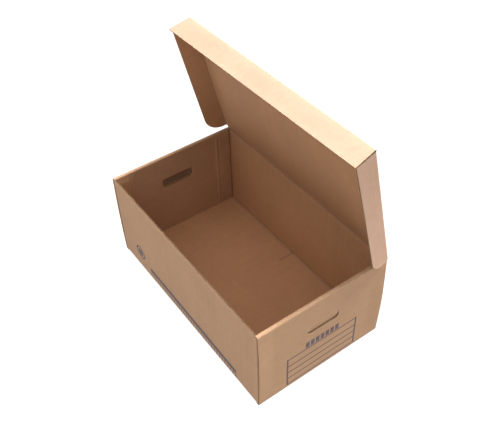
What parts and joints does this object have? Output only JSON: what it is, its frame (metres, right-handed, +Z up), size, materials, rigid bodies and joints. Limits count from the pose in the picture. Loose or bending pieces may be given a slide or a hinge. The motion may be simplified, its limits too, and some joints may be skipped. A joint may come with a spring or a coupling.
{
  "type": "cardboard box file",
  "caption": "Corrugated cardboard storage box for files, with rolled-over double ends, push-in hand-hole flaps and a hinged lid that stands open.",
  "frame": {"origin": "middle of the underside of the tray's floor, where the box stands", "axes": "+X along the long side towards the end with the ruled label, +Y from the front wall to the wall that carries the lid, +Z up"},
  "size_m": [0.6206, 0.346, 0.5894],
  "materials": {
    "tray_board": "matt brown kraft liner",
    "lid_board": "matt brown kraft liner",
    "flap_board": "matt brown kraft liner"
  },
  "bodies": {
    "tray": {"tray": "tray_board"},
    "lid": {"lid": "lid_board"},
    "left_flap": {"left_hand_hole_flap": "flap_board"},
    "right_flap": {"right_hand_hole_flap": "flap_board"}
  },
  "joints": [
    {"name": "lid_hinge", "type": "hinge", "parent": "tray", "child": "lid", "pos_m": [0, 0.1715, 0.2489], "axis": [-1, 0, 0], "range_deg": [-76.2, 103.8]},
    {"name": "left_flap_hinge", "type": "hinge", "parent": "tray", "child": "left_flap", "pos_m": [-0.2985, 0, 0.1751], "axis": [0, -1, 0], "range_deg": [-3, 87]},
    {"name": "right_flap_hinge", "type": "hinge", "parent": "tray", "child": "right_flap", "pos_m": [0.2985, 0, 0.1751], "axis": [0, 1, 0], "range_deg": [-8, 82]}
  ]
}
